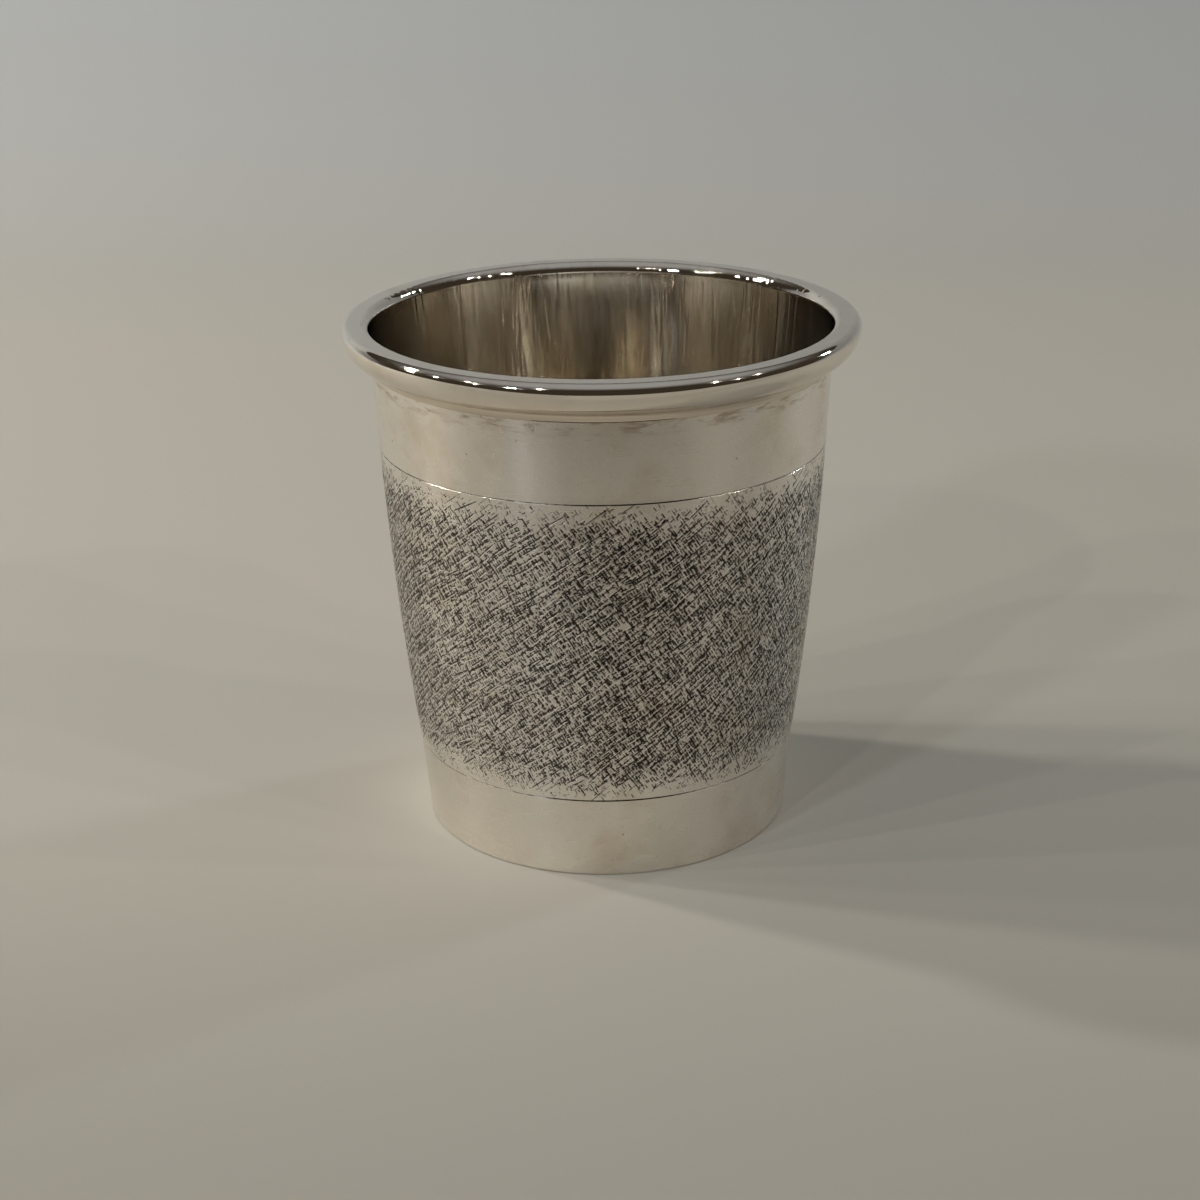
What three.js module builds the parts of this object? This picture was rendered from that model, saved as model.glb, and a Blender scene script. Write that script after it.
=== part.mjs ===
// Silver beaker: a tapered wall with a let-in base and a moulding soldered round its lip.
// Millimetres, +Z up. The origin is the middle of the foot edge, on the table.
import * as THREE from 'three';

// Heights of the wall's plain and engraved bands, from the table up
const LOWER_BAND_HEIGHT = 12.3;
const ENGRAVED_BAND_HEIGHT = 45.1;
const UPPER_BAND_HEIGHT = 11.1;

// Outside diameters of the wall, from the table up
const FOOT_DIAMETER = 53.8;
const LOWER_LINE_DIAMETER = 56.2;
const UPPER_LINE_DIAMETER = 64.2;
const RIM_SEAT_DIAMETER = 65.3;

// The wall's sheet and edges
const WALL_THICKNESS = 0.9;
const BAND_SWELL = 0.44; // how far the engraved band swells beyond a straight cone
const BAND_STEP = 0.1; // how far the lower band is set in from the engraved band
const FOOT_EDGE_RADIUS = 0.3;
const LIP_FLARE = 1.25; // how far the lip turns out behind the moulding
const LIP_EDGE_RADIUS = 0.5;

// The turned lines that border the engraved band
const LINE_WIDTH = 0.3;
const LINE_DEPTH = 0.15;

// The base disc, which wedges into the taper from above
const BASE_RECESS = 0.8; // height of its underside above the table
const BASE_THICKNESS = 1.0;

// The rim moulding, from its lower edge up: a thin land, a cove, a quirk, an ovolo and a rounded top edge
const LAND_THICKNESS = 0.15;
const LAND_HEIGHT = 0.15;
const COVE_DEPTH = 1.05;
const COVE_HEIGHT = 1.6;
const QUIRK_WIDTH = 0.27;
const QUIRK_HEIGHT = 0.05;
const OVOLO_RADIUS = 4.1;
const OVOLO_SWEEP = 68; // degrees, from the widest point down
const TOP_EDGE_RADIUS = 0.9;

// The film of solder in each joint
const SOLDER_GAP = 0.05;

// Finishes
const ENGRAVED_SILVER = { color: '#c9c2b6', roughness: 0.3, metalness: 1 };
const BASE_SILVER = { color: '#d2cdc4', roughness: 0.22, metalness: 1 };
const POLISHED_SILVER = { color: '#dcd8d0', roughness: 0.12, metalness: 1 };

// Facets round the axis and along the curved stretches of an outline
const FACETS_ROUND = 72;
const BAND_STEPS = 8;
const FLARE_STEPS = 5;
const EDGE_STEPS = 4;
const COVE_STEPS = 6;
const OVOLO_STEPS = 10;
const SAME_POINT = 1e-4;

const ovoloSweep = THREE.MathUtils.degToRad(OVOLO_SWEEP);
const ovoloDrop = OVOLO_RADIUS * Math.sin(ovoloSweep);
const ovoloReach = OVOLO_RADIUS * (1 - Math.cos(ovoloSweep));
const mouldingHeight = LAND_HEIGHT + COVE_HEIGHT + QUIRK_HEIGHT + ovoloDrop + TOP_EDGE_RADIUS;

const lowerLineHeight = LOWER_BAND_HEIGHT;
const upperLineHeight = lowerLineHeight + ENGRAVED_BAND_HEIGHT;
const rimSeatHeight = upperLineHeight + UPPER_BAND_HEIGHT;
const topHeight = rimSeatHeight + mouldingHeight;

const footRadius = FOOT_DIAMETER / 2;
const lowerLineRadius = LOWER_LINE_DIAMETER / 2;
const upperLineRadius = UPPER_LINE_DIAMETER / 2;
const rimSeatRadius = RIM_SEAT_DIAMETER / 2;
const lipRadius = rimSeatRadius + LIP_FLARE;

// An edge is rounded no further than the sheet is thick
const footEdgeRadius = Math.min(FOOT_EDGE_RADIUS, WALL_THICKNESS);
const lipEdgeRadius = Math.min(LIP_EDGE_RADIUS, WALL_THICKNESS);

// Outlines are lists of points (radius, height)

function corner(radius, height) {
  return [new THREE.Vector2(radius, height)];
}

// An arc of an ellipse, with its angles counted anticlockwise from outwards
function arc(radius, height, reach, rise, from, to, steps) {
  const clockwise = to < from;
  return new THREE.EllipseCurve(radius, height, reach, rise, from, to, clockwise).getPoints(steps);
}

function bend(start, control, end, steps) {
  return new THREE.QuadraticBezierCurve(start, control, end).getPoints(steps);
}

// The engraved band's gentle swell, moved in from the outside by the given depth
function bandCurve(depth, margin) {
  const start = new THREE.Vector2(lowerLineRadius - depth, lowerLineHeight + margin);
  const end = new THREE.Vector2(upperLineRadius - depth, upperLineHeight - margin);
  const control = start.clone().add(end).multiplyScalar(0.5);
  control.x += 2 * BAND_SWELL;
  return bend(start, control, end, BAND_STEPS);
}

// The lip's turned-out stretch behind the moulding: it leaves the upper band without a kink
function flareCurve(depth) {
  const bandSlope = (rimSeatRadius - upperLineRadius) / UPPER_BAND_HEIGHT;
  const halfway = mouldingHeight / 2;
  const start = new THREE.Vector2(rimSeatRadius - depth, rimSeatHeight);
  const control = new THREE.Vector2(start.x + bandSlope * halfway, rimSeatHeight + halfway);
  const end = new THREE.Vector2(lipRadius - depth, topHeight);
  return bend(start, control, end, FLARE_STEPS);
}

// A turned line: a small V cut into the outside
function turnedLine(lowRadius, highRadius, height) {
  return [
    ...corner(lowRadius, height - LINE_WIDTH / 2),
    ...corner(Math.min(lowRadius, highRadius) - LINE_DEPTH, height),
    ...corner(highRadius, height + LINE_WIDTH / 2),
  ];
}

// Radius of the wall's inner face in the lower band
function innerRadiusAt(height) {
  const share = height / lowerLineHeight;
  return THREE.MathUtils.lerp(footRadius, lowerLineRadius, share) - WALL_THICKNESS;
}

// A solid turned about the Z axis
function turned(outline) {
  const points = outline.filter((point, i) => i === 0 || point.distanceTo(outline[i - 1]) > SAME_POINT);
  return new THREE.LatheGeometry(points, FACETS_ROUND).rotateX(Math.PI / 2);
}

function wallOutline() {
  const innerFoot = corner(innerRadiusAt(0), 0);
  const lipEdgeHeight = topHeight - lipEdgeRadius;
  const innerFlare = flareCurve(WALL_THICKNESS).filter((point) => point.y < lipEdgeHeight);
  return [
    ...innerFoot,
    ...arc(
      footRadius - footEdgeRadius, footEdgeRadius, footEdgeRadius, footEdgeRadius,
      -Math.PI / 2, 0, EDGE_STEPS,
    ),
    ...turnedLine(lowerLineRadius - BAND_STEP, lowerLineRadius, lowerLineHeight),
    ...bandCurve(0, LINE_WIDTH / 2),
    ...turnedLine(upperLineRadius, upperLineRadius, upperLineHeight),
    ...flareCurve(0),
    ...arc(
      lipRadius - WALL_THICKNESS + lipEdgeRadius, lipEdgeHeight, lipEdgeRadius, lipEdgeRadius,
      Math.PI / 2, Math.PI, EDGE_STEPS,
    ),
    ...innerFlare.reverse(),
    ...bandCurve(WALL_THICKNESS, 0).reverse(),
    ...innerFoot,
  ];
}

function baseOutline() {
  const top = BASE_RECESS + BASE_THICKNESS;
  return [
    ...corner(0, BASE_RECESS),
    ...corner(innerRadiusAt(BASE_RECESS) - SOLDER_GAP, BASE_RECESS),
    ...corner(innerRadiusAt(top) - SOLDER_GAP, top),
    ...corner(0, top),
  ];
}

function mouldingOutline() {
  const seat = flareCurve(-SOLDER_GAP);
  const landRadius = rimSeatRadius + SOLDER_GAP + LAND_THICKNESS;
  const landTop = rimSeatHeight + LAND_HEIGHT;
  const coveRadius = landRadius + COVE_DEPTH;
  const widestRadius = coveRadius + QUIRK_WIDTH + ovoloReach;
  const widestHeight = topHeight - TOP_EDGE_RADIUS;
  return [
    seat[0],
    ...corner(landRadius, rimSeatHeight),
    ...arc(coveRadius, landTop, COVE_DEPTH, COVE_HEIGHT, Math.PI, Math.PI / 2, COVE_STEPS),
    ...arc(
      widestRadius - OVOLO_RADIUS, widestHeight, OVOLO_RADIUS, OVOLO_RADIUS,
      -ovoloSweep, 0, OVOLO_STEPS,
    ),
    ...arc(
      widestRadius - TOP_EDGE_RADIUS, widestHeight, TOP_EDGE_RADIUS, TOP_EDGE_RADIUS,
      0, Math.PI / 2, EDGE_STEPS,
    ),
    ...seat.reverse(),
  ];
}

function piece(name, outline, finish) {
  const mesh = new THREE.Mesh(turned(outline), new THREE.MeshStandardMaterial(finish));
  mesh.name = name;
  return mesh;
}

const beaker = new THREE.Group();
beaker.add(
  piece('beaker_wall', wallOutline(), ENGRAVED_SILVER),
  piece('base_disc', baseOutline(), BASE_SILVER),
  piece('rim_moulding', mouldingOutline(), POLISHED_SILVER),
);

export default beaker;
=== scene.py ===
# Silver beaker: its looks, a plain pale stage and the camera.
import math

import bpy
import numpy as np
from mathutils import Matrix, Vector


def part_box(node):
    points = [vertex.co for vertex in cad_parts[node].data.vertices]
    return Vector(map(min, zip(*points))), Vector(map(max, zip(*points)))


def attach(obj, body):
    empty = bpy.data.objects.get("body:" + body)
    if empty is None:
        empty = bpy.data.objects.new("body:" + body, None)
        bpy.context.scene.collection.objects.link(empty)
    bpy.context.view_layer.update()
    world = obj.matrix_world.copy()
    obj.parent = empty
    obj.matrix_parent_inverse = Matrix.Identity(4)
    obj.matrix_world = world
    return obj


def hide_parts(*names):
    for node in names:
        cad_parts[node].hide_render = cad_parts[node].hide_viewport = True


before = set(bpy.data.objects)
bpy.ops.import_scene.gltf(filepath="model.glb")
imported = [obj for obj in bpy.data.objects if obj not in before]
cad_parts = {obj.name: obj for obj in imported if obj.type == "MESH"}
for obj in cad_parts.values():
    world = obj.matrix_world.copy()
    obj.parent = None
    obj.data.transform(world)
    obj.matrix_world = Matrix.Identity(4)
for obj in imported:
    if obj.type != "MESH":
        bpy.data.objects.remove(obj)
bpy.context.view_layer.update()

MM = 0.001

# Sizes of the wall in millimetres, from the table up
LOWER_BAND_HEIGHT = 12.3
ENGRAVED_BAND_HEIGHT = 45.1
FOOT_RADIUS = 26.9
LOWER_LINE_RADIUS = 28.1
UPPER_LINE_RADIUS = 32.1
RIM_SEAT_RADIUS = 32.65
WALL_THICKNESS = 0.9
BAND_SWELL = 0.44
BAND_STEP = 0.1
FOOT_EDGE_RADIUS = 0.3
LIP_EDGE_WIDTH = 1.3
LIP_EDGE_HEIGHT = 1.6
LINE_WIDTH = 0.2
LINE_DEPTH = 0.05

# Sizes of the rim moulding in millimetres, from its lower edge up
LAND_RISE = 0.4
LAND_THICKNESS = 0.15
LAND_HEIGHT = 0.1
QUIRK_WIDTH = 0.27
QUIRK_HEIGHT = 0.05
OVOLO_RADIUS = 3.8
OVOLO_SWEEP = math.radians(68)
TOP_EDGE_RADIUS = 1.15
SOLDER_FILLET = 0.35
BASE_HUB = 0.4

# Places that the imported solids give, in millimetres
TOP_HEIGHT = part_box("beaker_wall")[1].z / MM
LIP_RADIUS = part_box("beaker_wall")[1].x / MM
RIM_SEAT_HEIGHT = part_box("rim_moulding")[0].z / MM
RIM_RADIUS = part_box("rim_moulding")[1].x / MM
BASE_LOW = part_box("base_disc")[0].z / MM
BASE_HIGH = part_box("base_disc")[1].z / MM
LOWER_LINE_HEIGHT = LOWER_BAND_HEIGHT
UPPER_LINE_HEIGHT = LOWER_LINE_HEIGHT + ENGRAVED_BAND_HEIGHT

# The engraved band's grid and its strokes, in millimetres and degrees
COLUMNS = 2016
CELL = 0.0945
RISING = 37
FALLING = 122
CUT_DEPTHS = (0.05, 0.1)
RIDGE_HEIGHT = 0.035
DARK_DEPTH = 0.04
TOP_FADE = 5.4
LOW_FADE = 4.8
STROKE_SEED = 7

# Where the border lines are darkest, in degrees from the camera's side, and how far that spreads
LINE_DARK_TURN = 8
LINE_DARK_SPREAD = 16

# Camera, fitted to the photograph: millimetres, degrees and pixels of its 1200 x 1200 frame
PHOTO_SIDE = 1200
FOCAL_PIXELS = 2223
SENSOR_WIDTH = 36.0
CAMERA_BACK = 307.5
CAMERA_HEIGHT = 152.2
CAMERA_PITCH = 21.42
CAMERA_YAW = -0.13
CAMERA_ROLL = -0.76


# Outlines: points (radius, height) in millimetres

def straight(start, end, steps):
    return np.linspace(start, end, steps + 1)


def arc(centre, reach, rise, first, last, steps):
    angles = np.linspace(first, last, steps + 1)
    return np.column_stack([centre[0] + reach * np.cos(angles), centre[1] + rise * np.sin(angles)])


def bend(start, control, end, steps):
    t = np.linspace(0, 1, steps + 1)[:, None]
    return (1 - t) ** 2 * np.array(start) + 2 * t * (1 - t) * np.array(control) + t**2 * np.array(end)


class Outline:
    """A chain of named stretches. A point that repeats the one before it is left out."""

    def __init__(self):
        self.points = np.zeros((0, 2))
        self.rows = {}

    def add(self, name, points):
        points = np.asarray(points, float).reshape(-1, 2)
        if len(self.points) and np.allclose(points[0], self.points[-1], atol=1e-6):
            points = points[1:]
        first = len(self.points)
        self.points = np.vstack([self.points, points])
        self.rows[name] = np.arange(first, len(self.points))


def lip_curve(depth, steps):
    """The turned-out lip behind the moulding, moved in by depth."""
    slope = (RIM_SEAT_RADIUS - UPPER_LINE_RADIUS) / (RIM_SEAT_HEIGHT - UPPER_LINE_HEIGHT)
    half = (TOP_HEIGHT - RIM_SEAT_HEIGHT) / 2
    start = (RIM_SEAT_RADIUS - depth, RIM_SEAT_HEIGHT)
    control = (start[0] + slope * half, RIM_SEAT_HEIGHT + half)
    return bend(start, control, (LIP_RADIUS - depth, TOP_HEIGHT), steps)


def band_curve(depth, margin, steps):
    """The engraved band's swell, moved in by depth, stopping short of its border lines by margin."""
    start = np.array([LOWER_LINE_RADIUS - depth, LOWER_LINE_HEIGHT + margin])
    end = np.array([UPPER_LINE_RADIUS - depth, UPPER_LINE_HEIGHT - margin])
    control = (start + end) / 2 + np.array([2 * BAND_SWELL, 0])
    return bend(start, control, end, steps)


def turned_line(low_radius, high_radius, height):
    """A small groove with rounded edges and bottom."""
    low, high = (low_radius, height - LINE_WIDTH / 2), (high_radius, height + LINE_WIDTH / 2)
    bottom = (min(low_radius, high_radius) - 2 * LINE_DEPTH, height)
    return bend(low, bottom, high, 6)


def inner_radius(height):
    """The wall's inner face in the lower band."""
    share = height / LOWER_LINE_HEIGHT
    return FOOT_RADIUS + (LOWER_LINE_RADIUS - FOOT_RADIUS) * share - WALL_THICKNESS


def wall_outline():
    outline = Outline()
    half_line = LINE_WIDTH / 2
    foot_centre = (FOOT_RADIUS - FOOT_EDGE_RADIUS, FOOT_EDGE_RADIUS)
    outline.add("foot_inside", [(inner_radius(0), 0)])
    outline.add("foot_edge", arc(foot_centre, FOOT_EDGE_RADIUS, FOOT_EDGE_RADIUS, -math.pi / 2, 0, 6))
    lower_top = (LOWER_LINE_RADIUS - BAND_STEP, LOWER_LINE_HEIGHT - half_line)
    support = np.array(lower_top) - (0, LINE_WIDTH / 8)
    outline.add("lower_band", straight(outline.points[-1], support, 8))
    outline.add("lower_line", turned_line(lower_top[0], LOWER_LINE_RADIUS, LOWER_LINE_HEIGHT))
    steps = round((ENGRAVED_BAND_HEIGHT - LINE_WIDTH) / CELL)
    outline.add("band", band_curve(0, half_line, steps))
    outline.add("upper_line", turned_line(UPPER_LINE_RADIUS, UPPER_LINE_RADIUS, UPPER_LINE_HEIGHT))
    support = outline.points[-1] + (0, LINE_WIDTH / 8)
    outline.add("upper_band", straight(support, (RIM_SEAT_RADIUS, RIM_SEAT_HEIGHT), 10))
    outline.add("lip_outside", lip_curve(0, 8))
    lip_centre = (LIP_RADIUS, TOP_HEIGHT - LIP_EDGE_HEIGHT)
    outline.add("lip_edge", arc(lip_centre, LIP_EDGE_WIDTH, LIP_EDGE_HEIGHT, math.pi / 2, math.pi, 12))
    inside_top = (UPPER_LINE_RADIUS - WALL_THICKNESS, UPPER_LINE_HEIGHT)
    outline.add("inside_lip", straight(outline.points[-1], inside_top, 16))
    outline.add("inside", band_curve(WALL_THICKNESS, 0, 40)[::-1])
    outline.add("inside_low", straight(outline.points[-1], (inner_radius(BASE_HIGH), BASE_HIGH), 8))
    outline.add("under", straight(outline.points[-1], (inner_radius(0), 0), 3)[:-1])
    return outline


def rim_outline():
    outline = Outline()
    seat = lip_curve(0, 10)
    low = RIM_SEAT_HEIGHT + LAND_RISE
    land_radius = RIM_SEAT_RADIUS + LAND_THICKNESS
    land_top = low + LAND_HEIGHT
    widest = TOP_HEIGHT - TOP_EDGE_RADIUS
    ovolo_centre = (RIM_RADIUS - OVOLO_RADIUS, widest)
    ovolo = arc(ovolo_centre, OVOLO_RADIUS, OVOLO_RADIUS, -OVOLO_SWEEP, 0, 28)
    cove_radius = ovolo[0][0] - QUIRK_WIDTH
    cove_height = ovolo[0][1] - QUIRK_HEIGHT - land_top
    cove_depth = cove_radius - land_radius
    outline.add("seat_low", [(RIM_SEAT_RADIUS, low)])
    outline.add("land", [(land_radius, low)])
    outline.add("cove", arc((cove_radius, land_top), cove_depth, cove_height, math.pi, math.pi / 2, 12))
    outline.add("ovolo", ovolo)
    edge_centre = (RIM_RADIUS - TOP_EDGE_RADIUS, widest)
    outline.add("edge", arc(edge_centre, TOP_EDGE_RADIUS, TOP_EDGE_RADIUS, 0, math.pi / 2, 12))
    outline.add("top", straight(outline.points[-1], seat[-1], 6))
    seat = seat[seat[:, 1] > low + 0.1]
    outline.add("seat", seat[::-1])
    return outline


def base_outline():
    """The floor disc with a small fillet of solder where its top meets the wall."""
    outline = Outline()
    low, high = inner_radius(BASE_LOW), inner_radius(BASE_HIGH)
    outline.add("underside", straight((BASE_HUB, BASE_LOW), (low, BASE_LOW), 12))
    outline.add("edge", [(high, BASE_HIGH)])
    fillet_top = BASE_HIGH + SOLDER_FILLET
    centre = (inner_radius(fillet_top) - SOLDER_FILLET, fillet_top)
    outline.add("fillet", arc(centre, SOLDER_FILLET, SOLDER_FILLET, 0, -math.pi / 2, 6))
    outline.add("floor", straight(outline.points[-1], (BASE_HUB, BASE_HIGH), 12))
    return outline


# Meshes

def mesh_object(name, vertices, quads, caps, uvs, sharp_rows, row_of):
    """A smooth mesh from arrays: vertices in millimetres, quads, flat caps, UV pairs for the corners."""
    mesh = bpy.data.meshes.new(name)
    mesh.vertices.add(len(vertices))
    mesh.vertices.foreach_set("co", (vertices * MM).astype(np.float32).ravel())
    sizes = np.array([4] * len(quads) + [len(cap) for cap in caps])
    corners = np.concatenate([quads.ravel(), *caps])
    mesh.loops.add(len(corners))
    mesh.loops.foreach_set("vertex_index", corners.astype(np.int32))
    mesh.polygons.add(len(sizes))
    mesh.polygons.foreach_set("loop_start", (np.cumsum(sizes) - sizes).astype(np.int32))
    mesh.update(calc_edges=True)
    mesh.polygons.foreach_set("use_smooth", np.ones(len(sizes), bool))
    mesh.uv_layers.new(name="OFBake").uv.foreach_set("vector", uvs.astype(np.float32).ravel())
    edges = np.zeros(len(mesh.edges) * 2, np.int32)
    mesh.edges.foreach_get("vertices", edges)
    ends = row_of[edges.reshape(-1, 2)]
    sharp = (ends[:, 0] == ends[:, 1]) & np.isin(ends[:, 0], sharp_rows)
    mesh.edges.foreach_set("use_edge_sharp", sharp)
    mesh.update()
    piece = bpy.data.objects.new(name, mesh)
    bpy.context.scene.collection.objects.link(piece)
    return piece


def turned_piece(name, outline, columns, sharp_rows, strips, relief=0.0, capped=False):
    """Turns an outline about Z. Relief is added to each row's radius, column by column.
    Strips place the rows of faces in the UV square: first row, last row, low v, high v, halves."""
    radius = np.repeat(outline.points[:, :1], columns, axis=1) + relief
    rows = len(radius)
    angle = np.arange(columns) * 2 * math.pi / columns - math.pi / 2
    height = np.repeat(outline.points[:, 1:], columns, axis=1)
    vertices = np.stack([radius * np.cos(angle), radius * np.sin(angle), height], -1).reshape(-1, 3)
    row, column = np.meshgrid(np.arange(rows), np.arange(columns), indexing="ij")
    next_row, next_column = (row + 1) % rows, (column + 1) % columns
    corners = [(row, column), (row, next_column), (next_row, next_column), (next_row, column)]
    quads = np.stack([r * columns + c for r, c in corners], -1)
    uvs = strip_uvs(rows, columns, strips)
    caps = []
    if capped:
        quads, uvs = quads[:-1], uvs[:-1]
        ring = np.arange(columns)
        caps = [ring[::-1], ring + (rows - 1) * columns]
    cap_uvs = [cap_uv(cap, columns, place) for cap, place in zip(caps, (0.02, 0.05))]
    uvs = np.concatenate([uvs.reshape(-1, 2), *cap_uvs])
    row_of = np.repeat(np.arange(rows), columns)
    return mesh_object(name, vertices, quads.reshape(-1, 4), caps, uvs, sharp_rows, row_of)


def cap_uv(cap, columns, place):
    """A small round place in the UV square for the cap at an outline's end."""
    angle = (cap % columns) * 2 * math.pi / columns
    return np.column_stack([place + 0.01 * np.cos(angle), 0.985 + 0.01 * np.sin(angle)])


def strip_uvs(rows, columns, strips):
    """UV pairs for the corners of each quad. A strip in two halves lies in two lines."""
    uvs = np.zeros((rows, columns, 4, 2))
    column = np.arange(columns)
    for first, last, low, high, halves in strips:
        per_line = columns // halves
        line_height = (high - low) / halves
        left = (column % per_line) / per_line
        base = low + (column // per_line) * line_height
        for row in range(first, last):
            v0, v1 = ((row + k - first) / (last - first) * line_height for k in (0, 1))
            pairs = [(left, v0), (left + 1 / per_line, v0), (left + 1 / per_line, v1), (left, v1)]
            for corner, (u, v) in enumerate(pairs):
                uvs[row, :, corner, 0] = u
                uvs[row, :, corner, 1] = base + v
    return uvs


# Engraving: tens of thousands of short cuts in two directions

class Lines:
    """A set of broken parallel lines: degrees, millimetres apart, and ranges in millimetres."""

    def __init__(self, angle, spacing, lengths, gaps, widths, sway, shift=0.0):
        self.angle = math.radians(angle)
        self.spacing = spacing
        self.lengths = lengths
        self.gaps = gaps
        self.widths = widths
        self.sway = sway
        self.shift = shift


LONG_CUTS = Lines(RISING, 0.8, (1.2, 5.0), (0.18, 0.8), (0.17, 0.22), 3)
SHORT_CUTS = Lines(RISING, 0.35, (0.3, 0.9), (0.1, 0.45), (0.16, 0.21), 8, 0.5)
CROSS_CUTS = Lines(FALLING, 0.4, (0.35, 1.2), (0.05, 0.27), (0.17, 0.22), 5)
STRAY_CUTS = Lines(FALLING, 1.15, (1.2, 3.0), (0.7, 2.2), (0.19, 0.25), 4)
LONG_RIDGES = Lines(RISING, 0.8, (1.2, 5.5), (0.25, 1.0), (0.16, 0.21), 3, 0.4)
CROSS_RIDGES = Lines(FALLING, 0.8, (0.7, 2.4), (0.35, 1.4), (0.15, 0.2), 4, 0.5)


class Cuts:
    """The engraved band unrolled: the cuts' depth in millimetres, and where ridges are left standing."""

    def __init__(self, rows):
        self.rng = np.random.default_rng(STROKE_SEED)
        self.width = math.pi * (LOWER_LINE_RADIUS + UPPER_LINE_RADIUS + BAND_SWELL)
        self.step = self.width / COLUMNS
        self.rows = rows
        self.height = rows * CELL
        self.depth = np.zeros((rows, COLUMNS))
        self.ridge = np.zeros((rows, COLUMNS))
        self.lean = self.waves(12, 9.0)
        self.weight = np.ones((rows, COLUMNS))

    def waves(self, count, reach, heading=0.0, spread=math.pi / 2):
        """A smooth wandering value of about -1 to 1 that meets itself around the beaker."""
        rng = self.rng
        across = np.arange(COLUMNS) / COLUMNS
        up = np.arange(self.rows)[:, None] * CELL
        total = np.zeros((self.rows, COLUMNS))
        for _ in range(count):
            way = heading + rng.uniform(-spread, spread)
            length = reach * rng.uniform(0.6, 1.8)
            turns = round(self.width * math.cos(way) / length)
            total += np.cos(2 * math.pi * (turns * across + math.sin(way) / length * up + rng.uniform()))
        return total / math.sqrt(count / 2) / 1.6

    def stroke(self, field, u, v, angle, length, width, amount):
        """One stroke with rounded ends, kept where it is stronger than what is there."""
        wide = abs(length / 2 * math.cos(angle)) + width
        tall = abs(length / 2 * math.sin(angle)) + width
        columns = np.arange(int((u - wide) / self.step), int((u + wide) / self.step) + 2)
        rows = np.arange(max(0, int((v - tall) / CELL)), min(self.rows, int((v + tall) / CELL) + 2))
        if not len(rows):
            return
        du, dv = np.meshgrid(columns * self.step - u, rows * CELL - v)
        along = (du * math.cos(angle) + dv * math.sin(angle)) / (length / 2)
        across = (dv * math.cos(angle) - du * math.sin(angle)) / (width / 2)
        shape = np.clip(1 - across**2, 0, 1) * np.clip(1 - along**4, 0, 1)
        place = np.ix_(rows, columns % COLUMNS)
        field[place] = np.maximum(field[place], amount * shape)

    def hatch(self, field, lines, amounts, share):
        """Lines up the whole band and around it. Share is the part of them that is cut at each place."""
        rng = self.rng
        number = round(self.width * abs(math.sin(lines.angle)) / lines.spacing)
        travel = self.height / math.sin(lines.angle)
        for line in range(number):
            start = (line + lines.shift + rng.normal(0, 0.1)) * self.width / number
            place = -rng.uniform(0, 3)
            while place < travel:
                length = rng.uniform(*lines.lengths)
                middle = place + length / 2
                place += length + rng.uniform(*lines.gaps)
                u = start + middle * math.cos(lines.angle) + rng.normal(0, 0.15) * lines.spacing
                u = u % self.width
                v = middle * math.sin(lines.angle)
                here = min(max(int(v / CELL), 0), self.rows - 1), int(u / self.step) % COLUMNS
                if rng.uniform() < share[here]:
                    turn = lines.angle + math.radians(5 * self.lean[here] + rng.normal(0, lines.sway))
                    amount = rng.uniform(*amounts) * self.weight[here]
                    self.stroke(field, u, v, turn, length, rng.uniform(*lines.widths), amount)


def engraved_band(rows):
    """Cuts in two directions with thin ridges left standing, thinning out towards both borders."""
    cuts = Cuts(rows)
    across_rising = math.radians(RISING + 90)
    patches_a = cuts.waves(16, 5.0, across_rising, 0.6)
    patches_b = cuts.waves(16, 5.0, across_rising, 0.9)
    up = np.arange(rows)[:, None] * CELL
    from_top = np.clip((cuts.height - up + 0.9 * cuts.waves(20, 2.5) - 0.2) / TOP_FADE, 0, 1)
    from_low = np.clip((up + 0.6 * cuts.waves(20, 2.5) - 0.2) / LOW_FADE, 0, 1)
    fade = from_top * from_low
    cuts.weight = 0.25 + 0.75 * fade
    crossing = fade**0.4 * (0.9 - 0.2 * patches_a + 0.15 * patches_b)
    cuts.hatch(cuts.depth, LONG_CUTS, CUT_DEPTHS, fade**0.6 * (0.85 + 0.25 * patches_a))
    cuts.hatch(cuts.depth, SHORT_CUTS, CUT_DEPTHS, fade**0.5 * (0.5 + 0.2 * patches_a))
    cuts.hatch(cuts.depth, CROSS_CUTS, CUT_DEPTHS, crossing)
    cuts.hatch(cuts.depth, STRAY_CUTS, CUT_DEPTHS, fade)
    everywhere = np.full_like(fade, 0.9)
    cuts.hatch(cuts.ridge, LONG_RIDGES, (0.85, 1.0), everywhere)
    cuts.hatch(cuts.ridge, CROSS_RIDGES, (0.85, 1.0), everywhere)
    cuts.ridge *= np.clip(4 * fade, 0, 1)
    cuts.depth *= 1 - 0.95 * cuts.ridge
    film = 0.31 * fade * (0.8 + 0.2 * patches_b) * (1 - cuts.ridge)
    cuts.dark = np.maximum(np.clip(cuts.depth / DARK_DEPTH, 0, 1), film)
    return cuts


# Pieces

def border_dark(cuts, row):
    """How dark a border line is around the beaker."""
    turn = (np.arange(COLUMNS) / COLUMNS * 360 + 180) % 360 - 180
    peak = 0.55 * np.exp(-(((turn - LINE_DARK_TURN) / LINE_DARK_SPREAD) ** 2))
    return np.clip(0.4 + peak + 0.12 * cuts.waves(8, 25.0)[row], 0.1, 1)


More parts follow.
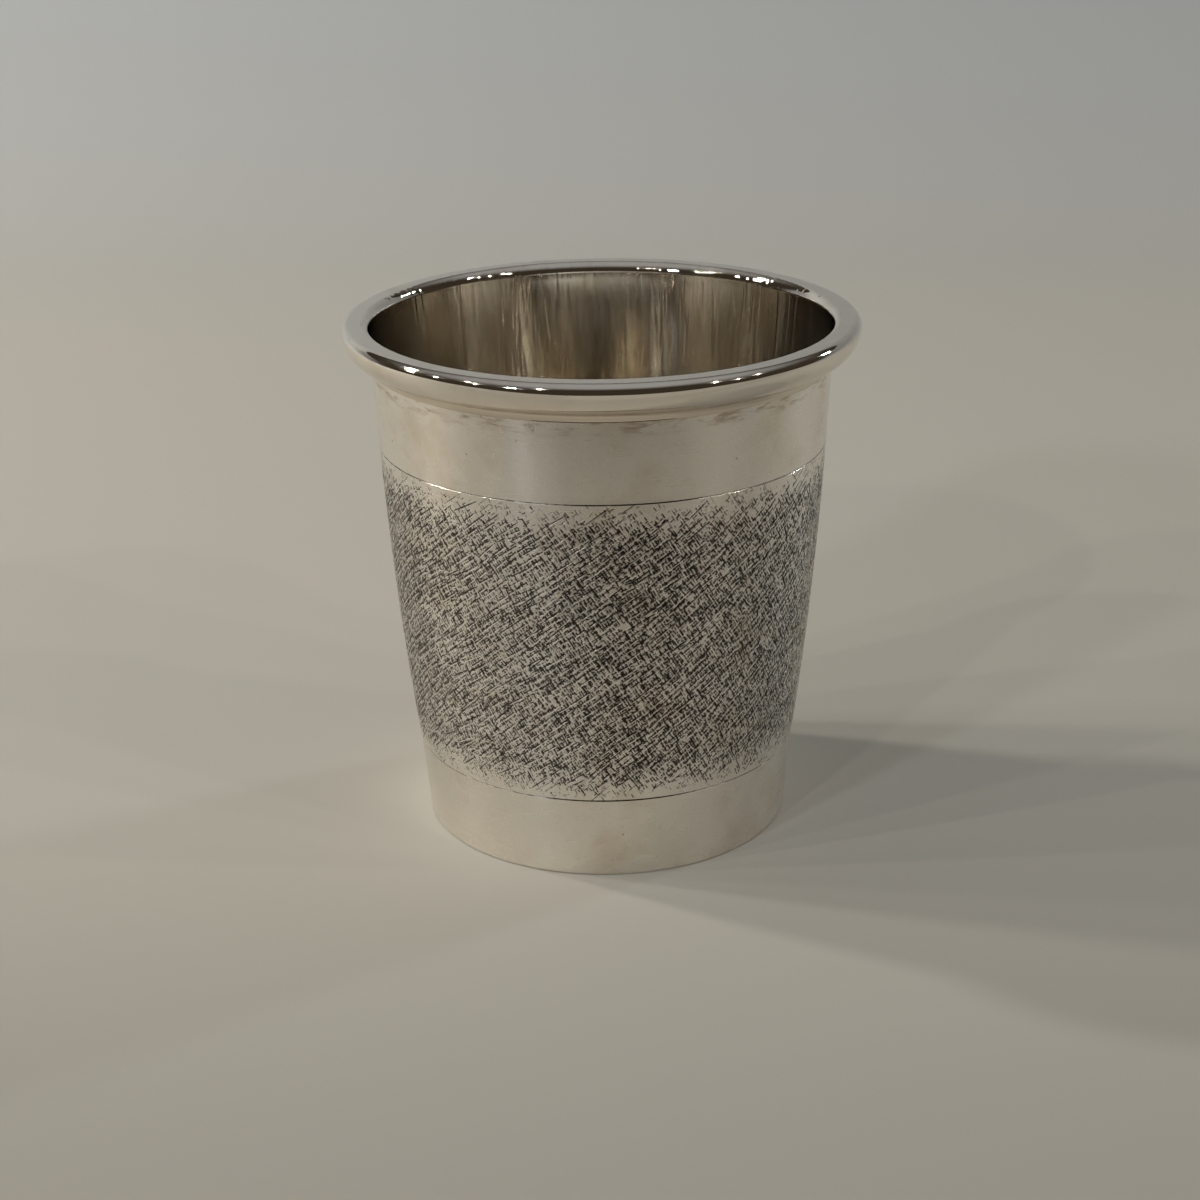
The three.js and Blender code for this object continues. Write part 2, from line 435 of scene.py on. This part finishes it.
def make_wall():
    outline = wall_outline()
    rows = outline.rows
    band = rows["band"]
    cuts = engraved_band(len(band))
    relief = np.zeros((len(outline.points), COLUMNS))
    relief[band] = RIDGE_HEIGHT * cuts.ridge - cuts.depth
    dark = np.zeros((len(outline.points), COLUMNS))
    # Ridges get values below zero here, which the material paints lighter as a painted highlight.
    dark[band] = cuts.dark - 0.3 * cuts.ridge
    for name, row in (("lower_line", 0), ("upper_line", -1)):
        dark[rows[name]] = border_dark(cuts, row)
    inside = np.zeros_like(dark)
    for name in ("lip_edge", "inside_lip", "inside", "inside_low", "under"):
        inside[rows[name]] = 1
    first, last = band[0] - 1, band[-1]
    total = len(outline.points)
    strips = [
        (0, first, 0.0, 0.05, 1),
        (first, last, 0.06, 0.78, 2),
        (last, rows["lip_edge"][0], 0.79, 0.84, 1),
        (rows["lip_edge"][0], total, 0.85, 1.0, 1),
    ]
    sharp = [rows["foot_inside"][0], rows["lip_outside"][-1]]
    sharp += [rows["lower_line"][0], band[0] - 1, rows["upper_line"][0] - 1, rows["upper_line"][-1]]
    wall = turned_piece("engraved_wall", outline, COLUMNS, sharp, strips, relief)
    for name, values in (("cut", dark), ("inside", inside)):
        wall.data.attributes.new(name, "FLOAT", "POINT").data.foreach_set("value", values.ravel())
    return wall


def make_rim():
    outline = rim_outline()
    rows = outline.rows
    sharp = [rows["seat_low"][0], rows["land"][0], rows["cove"][0], rows["cove"][-1], rows["ovolo"][0],
             rows["top"][-1]]
    total = len(outline.points)
    strips = [(0, rows["top"][-1], 0.02, 0.8, 2), (rows["top"][-1], total, 0.82, 0.96, 1)]
    return turned_piece("moulded_rim", outline, COLUMNS // 2, sharp, strips)


def make_base():
    outline = base_outline()
    rows = outline.rows
    sharp = [rows["underside"][-1], rows["edge"][0], rows["fillet"][0]]
    total = len(outline.points)
    strips = [(0, rows["edge"][0], 0.02, 0.45, 1), (rows["edge"][0], total, 0.5, 0.95, 1)]
    return turned_piece("floor_disc", outline, COLUMNS // 4, sharp, strips, capped=True)


# Materials

def node(tree, kind, inputs=None, **settings):
    """A node with its settings, and with values or links on the named sockets."""
    made = tree.nodes.new(kind)
    for key, value in settings.items():
        setattr(made, key, value)
    for key, value in (inputs or {}).items():
        if isinstance(value, bpy.types.NodeSocket):
            tree.links.new(value, made.inputs[key])
        else:
            made.inputs[key].default_value = value
    return made


def coords(tree, scale):
    """Places on the piece in millimetres times a scale for each axis."""
    place = node(tree, "ShaderNodeTexCoord").outputs["Object"]
    size = tuple(s / MM for s in scale)
    return node(tree, "ShaderNodeMapping", {"Vector": place, "Scale": size}).outputs["Vector"]


def noise(tree, scale, detail=3.0, rough=0.55):
    inputs = {"Vector": coords(tree, scale), "Scale": 1.0, "Detail": detail, "Roughness": rough}
    return node(tree, "ShaderNodeTexNoise", inputs).outputs["Fac"]


def ranged(tree, value, low, high, start=0.0, end=1.0):
    """A soft step from start to end while the value goes from low to high."""
    inputs = {"Value": value, "From Min": low, "From Max": high, "To Min": start, "To Max": end}
    return node(tree, "ShaderNodeMapRange", inputs, interpolation_type="SMOOTHSTEP").outputs["Result"]


def maths(tree, operation, a, b):
    return node(tree, "ShaderNodeMath", {0: a, 1: b}, operation=operation).outputs[0]


def blended(tree, factor, first, second):
    made = node(tree, "ShaderNodeMix", {"Factor": factor}, data_type="RGBA")
    for socket, value in ((made.inputs[6], first), (made.inputs[7], second)):
        if isinstance(value, bpy.types.NodeSocket):
            tree.links.new(value, socket)
        else:
            socket.default_value = (*value, 1.0)
    return made.outputs[2]


def attribute(tree, name):
    settings = {"attribute_name": name, "attribute_type": "GEOMETRY"}
    return node(tree, "ShaderNodeAttribute", **settings).outputs["Fac"]


def height_of(tree):
    """Height above the table in millimetres."""
    return node(tree, "ShaderNodeSeparateXYZ", {"Vector": coords(tree, (1, 1, 1))}).outputs["Z"]


SILVER = (0.90, 0.855, 0.78)
# Painted highlight colour for the engraved ridges.
RIDGE_HIGHLIGHT = (0.96, 0.93, 0.88)
# Real tarnish, and painted shade on the moulding's ovolo and crease.
TARNISH_AND_SHADE = (0.66, 0.56, 0.43)
# Black oxide in the cuts and specks, and a painted shadow line in the moulding's crease.
OXIDE_AND_SHADE = (0.052, 0.047, 0.039)
# Painted shade deep inside the beaker.
INSIDE_SHADE = (0.61, 0.55, 0.45)
FIRE_STAIN = (0.36, 0.25, 0.16)
# Tarnish and painted shade in the moulding's crease, also darkening its land.
CREASE_TARNISH_AND_SHADE = (0.3, 0.23, 0.16)

# Depths below the top (where the inside grows rougher and painted shade darkens it) and below the
# moulding, and the height of faint dents, in millimetres
SHADE_AND_DULL_START = 4
SHADE_AND_DULL_FULL = 11
STAIN_DROP = 2.0
DENT_HEIGHT = 0.02
RING_HEIGHT = 0.004


def metal(name):
    made = bpy.data.materials.new(name)
    made.use_nodes = True
    shader = made.node_tree.nodes["Principled BSDF"]
    shader.inputs["Metallic"].default_value = 1.0
    return made, made.node_tree, shader


def scratches(tree):
    """Hairline polishing marks: about 1 on a few thin lines and 0 elsewhere."""
    across = ranged(tree, noise(tree, (0.25, 0.25, 9.0), 2.0), 0.62, 0.72)
    steep = ranged(tree, noise(tree, (5.0, 5.0, 0.35), 2.0), 0.66, 0.74)
    return maths(tree, "MAXIMUM", across, steep)


def specks(tree, size):
    """Sparse dark pin pricks."""
    inputs = {"Vector": coords(tree, (size, size, size)), "Scale": 1.0}
    cells = node(tree, "ShaderNodeTexVoronoi", inputs)
    chance = node(tree, "ShaderNodeSeparateColor", {"Color": cells.outputs["Color"]}).outputs["Red"]
    near = ranged(tree, cells.outputs["Distance"], 0.05, 0.09, 1.0, 0.0)
    return maths(tree, "MULTIPLY", near, ranged(tree, chance, 0.8, 0.82))


def brushed_around(tree, shader):
    """Polishing lines run around the piece, so highlights are drawn out up and down."""
    around = node(tree, "ShaderNodeTangent", direction_type="RADIAL", axis="Z").outputs["Tangent"]
    tree.links.new(around, shader.inputs["Tangent"])
    shader.inputs["Anisotropic"].default_value = 0.9
    shader.inputs["Anisotropic Rotation"].default_value = 0.25


def wall_colour(tree, inside, deep, cut, oxide):
    """Silver: painted shade deep inside, stained under the moulding, a painted highlight on the ridges
    and black in the cuts.
    """
    tarnish = ranged(tree, noise(tree, (0.12, 0.12, 0.12), 5.0, 0.6), 0.45, 0.75, 0.0, 0.5)
    ground = blended(tree, tarnish, SILVER, TARNISH_AND_SHADE)
    # Painted shade, in upright strips, darkens the inside deeper down.
    strips = ranged(tree, noise(tree, (0.9, 0.9, 0.01), 3.0), 0.3, 0.65, 0.55, 1.0)
    ground = blended(tree, maths(tree, "MULTIPLY", deep, strips), ground, INSIDE_SHADE)
    stained = ranged(tree, height_of(tree), RIM_SEAT_HEIGHT - STAIN_DROP, RIM_SEAT_HEIGHT - 0.4)
    stained = maths(tree, "MULTIPLY", stained, maths(tree, "SUBTRACT", 1.0, inside))
    patches = ranged(tree, noise(tree, (0.3, 0.3, 1.2), 5.0, 0.65), 0.47, 0.66, 0.0, 0.65)
    ground = blended(tree, maths(tree, "MULTIPLY", stained, patches), ground, FIRE_STAIN)
    ground = blended(tree, maths(tree, "MULTIPLY", specks(tree, 0.45), 0.7), ground, OXIDE_AND_SHADE)
    # Painted highlight: where cut is below zero, on the ridges, the silver is painted lighter.
    ground = blended(tree, ranged(tree, cut, 0.0, -0.25), ground, RIDGE_HIGHLIGHT)
    return blended(tree, oxide, ground, OXIDE_AND_SHADE)


def wall_roughness(tree, inside, deep, oxide):
    """Satin outside, polished in strips inside, and rough in the cuts."""
    polish = ranged(tree, noise(tree, (1.5, 1.5, 0.02), 2.0), 0.4, 0.6, 0.02, 0.05)
    polish = maths(tree, "ADD", polish, maths(tree, "MULTIPLY", deep, 0.1))
    shine = node(tree, "ShaderNodeMix", {"Factor": inside, 2: 0.24, 3: polish}).outputs[0]
    fine = maths(tree, "ADD", shine, ranged(tree, scratches(tree), 0.0, 1.0, 0.0, 0.05))
    return node(tree, "ShaderNodeMix", {"Factor": oxide, 2: fine, 3: 0.5}).outputs[0]


def wall_bump(tree, inside):
    """Faint hammer dents all over, and upright streaks and drawn lines inside."""
    dents = maths(tree, "MULTIPLY", noise(tree, (0.09, 0.09, 0.06), 2.0), 0.5)
    streaks = maths(tree, "MULTIPLY", noise(tree, (0.5, 0.5, 0.015), 1.0), 0.6)
    drawn = ranged(tree, noise(tree, (0.9, 0.9, 0.01), 1.0), 0.5, 0.8, 0.0, 1.5)
    upright = maths(tree, "MULTIPLY", maths(tree, "ADD", streaks, drawn), inside)
    waves = maths(tree, "ADD", upright, dents)
    inputs = {"Height": waves, "Strength": 1.0, "Distance": DENT_HEIGHT * MM}
    return node(tree, "ShaderNodeBump", inputs).outputs["Normal"]


def wall_material():
    made, tree, shader = metal("engraved_silver")
    inside = attribute(tree, "inside")
    cut = attribute(tree, "cut")
    # Deeper inside: rougher silver, and darker with painted shade.
    lower = ranged(tree, height_of(tree), TOP_HEIGHT - SHADE_AND_DULL_START, TOP_HEIGHT - SHADE_AND_DULL_FULL)
    deep = maths(tree, "MULTIPLY", inside, lower)
    uneven = ranged(tree, noise(tree, (0.9, 0.9, 0.9), 4.0), 0.2, 0.8, 0.6, 1.4)
    oxide = ranged(tree, maths(tree, "MULTIPLY", cut, uneven), 0.0, 0.8)
    tree.links.new(wall_colour(tree, inside, deep, cut, oxide), shader.inputs["Base Color"])
    tree.links.new(wall_roughness(tree, inside, deep, oxide), shader.inputs["Roughness"])
    tree.links.new(wall_bump(tree, inside), shader.inputs["Normal"])
    brushed_around(tree, shader)
    return made


def rim_colour(tree):
    """Silver with painted shade on the ovolo's lower side, tarnish and painted shade in the crease above
    the cove, and darker along the land.
    """
    tarnish = ranged(tree, noise(tree, (0.15, 0.15, 0.15), 5.0, 0.6), 0.45, 0.75, 0.0, 0.4)
    colour = blended(tree, tarnish, SILVER, TARNISH_AND_SHADE)
    widest = TOP_HEIGHT - TOP_EDGE_RADIUS
    crease = widest - OVOLO_RADIUS * math.sin(OVOLO_SWEEP)
    land_top = RIM_SEAT_HEIGHT + LAND_RISE + LAND_HEIGHT
    height = height_of(tree)
    # Painted shade: the ovolo darkens towards its lower side.
    colour = blended(tree, ranged(tree, height, widest + 0.3, crease + 1.0, 0.0, 0.35), colour, TARNISH_AND_SHADE)
    # Tarnish and painted shade darken the crease above the cove.
    above = ranged(tree, height, crease + 1.2, crease, 0.0, 0.7)
    below = ranged(tree, height, crease - 0.15, crease - 0.02)
    colour = blended(tree, maths(tree, "MULTIPLY", above, below), colour, CREASE_TARNISH_AND_SHADE)
    # A near-black line along the crease: a painted shadow under the ovolo, partly tarnish.
    line = ranged(tree, height, crease + 0.25, crease, 0.0, 0.8)
    colour = blended(tree, maths(tree, "MULTIPLY", line, below), colour, OXIDE_AND_SHADE)
    # Painted shade just below the crease.
    colour = blended(tree, ranged(tree, height, crease, crease - 0.3, 0.0, 0.4), colour, TARNISH_AND_SHADE)
    land = ranged(tree, height, land_top + 0.1, land_top - 0.05, 0.0, 0.25)
    colour = blended(tree, land, colour, CREASE_TARNISH_AND_SHADE)
    return blended(tree, maths(tree, "MULTIPLY", specks(tree, 0.35), 0.7), colour, OXIDE_AND_SHADE)


def rim_material():
    made, tree, shader = metal("polished_silver")
    tree.links.new(rim_colour(tree), shader.inputs["Base Color"])
    tree.links.new(ranged(tree, scratches(tree), 0.0, 1.0, 0.05, 0.15), shader.inputs["Roughness"])
    dents = noise(tree, (0.2, 0.2, 0.2), 3.0)
    bump = node(tree, "ShaderNodeBump", {"Height": dents, "Strength": 1.0, "Distance": DENT_HEIGHT * MM})
    tree.links.new(bump.outputs["Normal"], shader.inputs["Normal"])
    return made


def base_material():
    made, tree, shader = metal("base_silver")
    tarnish = ranged(tree, noise(tree, (0.12, 0.12, 0.12), 5.0, 0.6), 0.4, 0.75, 0.0, 0.6)
    colour = blended(tree, tarnish, SILVER, TARNISH_AND_SHADE)
    colour = blended(tree, maths(tree, "MULTIPLY", specks(tree, 0.3), 0.7), colour, OXIDE_AND_SHADE)
    tree.links.new(colour, shader.inputs["Base Color"])
    inputs = {"Vector": coords(tree, (1, 1, 1)), "Scale": 1.1, "Distortion": 0.6, "Detail": 2.0}
    settings = {"wave_type": "RINGS", "rings_direction": "Z"}
    rings = node(tree, "ShaderNodeTexWave", inputs, **settings).outputs["Fac"]
    tree.links.new(ranged(tree, scratches(tree), 0.0, 1.0, 0.14, 0.28), shader.inputs["Roughness"])
    bump = node(tree, "ShaderNodeBump", {"Height": rings, "Strength": 0.5, "Distance": RING_HEIGHT * MM})
    tree.links.new(bump.outputs["Normal"], shader.inputs["Normal"])
    return made


# Stage: a pale sweep in metres, lamps on both sides and a dim warm room

SWEEP_START = 0.36
SWEEP_RADIUS = 0.3
SWEEP_TOP = 0.5
SWEEP_WIDTH = 3.0
FLOOR_FRONT = -0.22
FLOOR_COLOUR = (0.44, 0.425, 0.385)
FLOOR_NEAR_SHADE = (0.345, 0.33, 0.3)
FLOOR_PAINTED_SHADOW = (0.4, 0.38, 0.34)
BACKDROP_COLOUR = (0.43, 0.45, 0.47)
ROOM_DARK = (0.036, 0.028, 0.019)
CEILING = (0.3, 0.3, 0.3)
COOL = (0.88, 0.95, 1.0)
WARM = (1.0, 0.94, 0.84)

# Lamps: metres, watts, and degrees around from the camera's side and up
KEY_DISTANCE = 1.0
KEY_SIZE = 0.06
KEY_LAMPS = ((-93, 27, 0.9), (-100, 36, 2.0), (-112, 44, 2.4))
LAMP_DISTANCE = 1.6
LAMP_SIZE = 0.03
LEFT_LAMPS = ((-28, 34), (-58, 30), (-66, 38), (-81, 32))
LEFT_WATTS = 1.9
RIGHT_LAMPS = ((53, 34), (63, 30), (79, 38))
RIGHT_WATTS = 1.5
COOL_SIZE = 0.12
COOL_WATTS = 3.8
WINDOW_SIZE = 0.16
WINDOW_WATTS = 3.6


def paper_material():
    """Paper with painted shade near the camera and a painted shadow in front to the right, cooler up the
    backdrop.
    """
    made = bpy.data.materials.new("pale_paper")
    made.use_nodes = True
    tree = made.node_tree
    shader = tree.nodes["Principled BSDF"]
    place = node(tree, "ShaderNodeTexCoord").outputs["Object"]
    parts = node(tree, "ShaderNodeSeparateXYZ", {"Vector": place}).outputs
    colour = blended(tree, ranged(tree, parts["Y"], 0.25, 0.6), FLOOR_COLOUR, BACKDROP_COLOUR)
    # Painted shade: the floor is darker near the camera.
    colour = blended(tree, ranged(tree, parts["Y"], 0.01, -0.12), colour, FLOOR_NEAR_SHADE)
    # Painted shadow on the floor in front, to the right.
    right, front = ranged(tree, parts["X"], -0.05, -0.03), ranged(tree, parts["Y"], -0.1, -0.15)
    colour = blended(tree, maths(tree, "MULTIPLY", right, front), colour, FLOOR_PAINTED_SHADOW)
    tree.links.new(colour, shader.inputs["Base Color"])
    shader.inputs["Roughness"].default_value = 0.9
    shader.inputs["Specular IOR Level"].default_value = 0.1
    return made


def make_sweep():
    curve = arc((SWEEP_START, SWEEP_RADIUS), SWEEP_RADIUS, SWEEP_RADIUS, -math.pi / 2, 0, 24)
    line = np.vstack([[FLOOR_FRONT, 0], curve, [SWEEP_START + SWEEP_RADIUS, SWEEP_TOP]])
    vertices = [(side * SWEEP_WIDTH, y, z) for y, z in line for side in (-1, 1)]
    faces = [(2 * k, 2 * k + 1, 2 * k + 3, 2 * k + 2) for k in range(len(line) - 1)]
    mesh = bpy.data.meshes.new("sweep")
    mesh.from_pydata(vertices, [], faces)
    mesh.polygons.foreach_set("use_smooth", [True] * len(faces))
    mesh.materials.append(paper_material())
    sweep = bpy.data.objects.new("sweep", mesh)
    bpy.context.scene.collection.objects.link(sweep)


def make_lamp(name, turn, rise, distance, size, watts, colour):
    """A round lamp aimed at the beaker. A negative turn is to the left of the camera's side."""
    lamp = bpy.data.lights.new(name, "AREA")
    lamp.shape = "DISK"
    lamp.size = size
    lamp.energy = watts
    lamp.color = colour
    made = bpy.data.objects.new(name, lamp)
    turn, rise = math.radians(turn), math.radians(rise)
    level = distance * math.cos(rise)
    made.location = (level * math.sin(turn), -level * math.cos(turn), distance * math.sin(rise))
    aim = Vector((0, 0, TOP_HEIGHT * MM / 2)) - made.location
    made.rotation_euler = aim.to_track_quat("-Z", "Y").to_euler()
    bpy.context.scene.collection.objects.link(made)


def make_lamps():
    for turn, rise, watts in KEY_LAMPS:
        make_lamp(f"key_{rise}", turn, rise, KEY_DISTANCE, KEY_SIZE, watts, WARM)
    make_lamp("cool", -40, 26, LAMP_DISTANCE, COOL_SIZE, COOL_WATTS, COOL)
    for turn, rise in LEFT_LAMPS:
        make_lamp(f"left_{turn}", turn, rise, LAMP_DISTANCE, LAMP_SIZE, LEFT_WATTS, WARM)
    make_lamp("window", 120, 26, LAMP_DISTANCE, WINDOW_SIZE, WINDOW_WATTS, COOL)
    for turn, rise in RIGHT_LAMPS:
        make_lamp(f"right_{turn}", turn, rise, LAMP_DISTANCE, LAMP_SIZE, RIGHT_WATTS, WARM)


def make_world():
    world = bpy.data.worlds.new("room")
    bpy.context.scene.world = world
    world.use_nodes = True
    tree = world.node_tree
    place = node(tree, "ShaderNodeTexCoord").outputs["Generated"]
    parts = node(tree, "ShaderNodeSeparateXYZ", {"Vector": place}).outputs
    colour = blended(tree, ranged(tree, parts["Z"], 0.5, 0.95), ROOM_DARK, CEILING)
    background = tree.nodes["Background"]
    tree.links.new(colour, background.inputs["Color"])
    background.inputs["Strength"].default_value = 1.0


def make_camera():
    pitch, yaw, roll = (math.radians(a) for a in (CAMERA_PITCH, CAMERA_YAW, CAMERA_ROLL))
    ahead = Vector((math.sin(yaw) * math.cos(pitch), math.cos(yaw) * math.cos(pitch), -math.sin(pitch)))
    right = Vector((math.cos(yaw), -math.sin(yaw), 0))
    up = right.cross(ahead)
    level_right = math.cos(roll) * right + math.sin(roll) * up
    level_up = -math.sin(roll) * right + math.cos(roll) * up
    turn = Matrix((level_right, level_up, -ahead)).transposed().to_4x4()
    lens = bpy.data.cameras.new("camera")
    lens.sensor_width = SENSOR_WIDTH
    lens.lens = FOCAL_PIXELS / PHOTO_SIDE * SENSOR_WIDTH
    lens.clip_start = 0.01
    camera = bpy.data.objects.new("camera", lens)
    place = Vector((0, -CAMERA_BACK * MM, CAMERA_HEIGHT * MM))
    camera.matrix_world = Matrix.Translation(place) @ turn
    bpy.context.scene.collection.objects.link(camera)
    bpy.context.scene.camera = camera


# Build

def place_piece(piece, node_name, material):
    piece.data.materials.append(material)
    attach(piece, "root")
    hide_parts(node_name)


place_piece(make_wall(), "beaker_wall", wall_material())
place_piece(make_rim(), "rim_moulding", rim_material())
place_piece(make_base(), "base_disc", base_material())

make_sweep()
make_world()
make_camera()
make_lamps()

scene = bpy.context.scene
scene.view_settings.view_transform = "Standard"
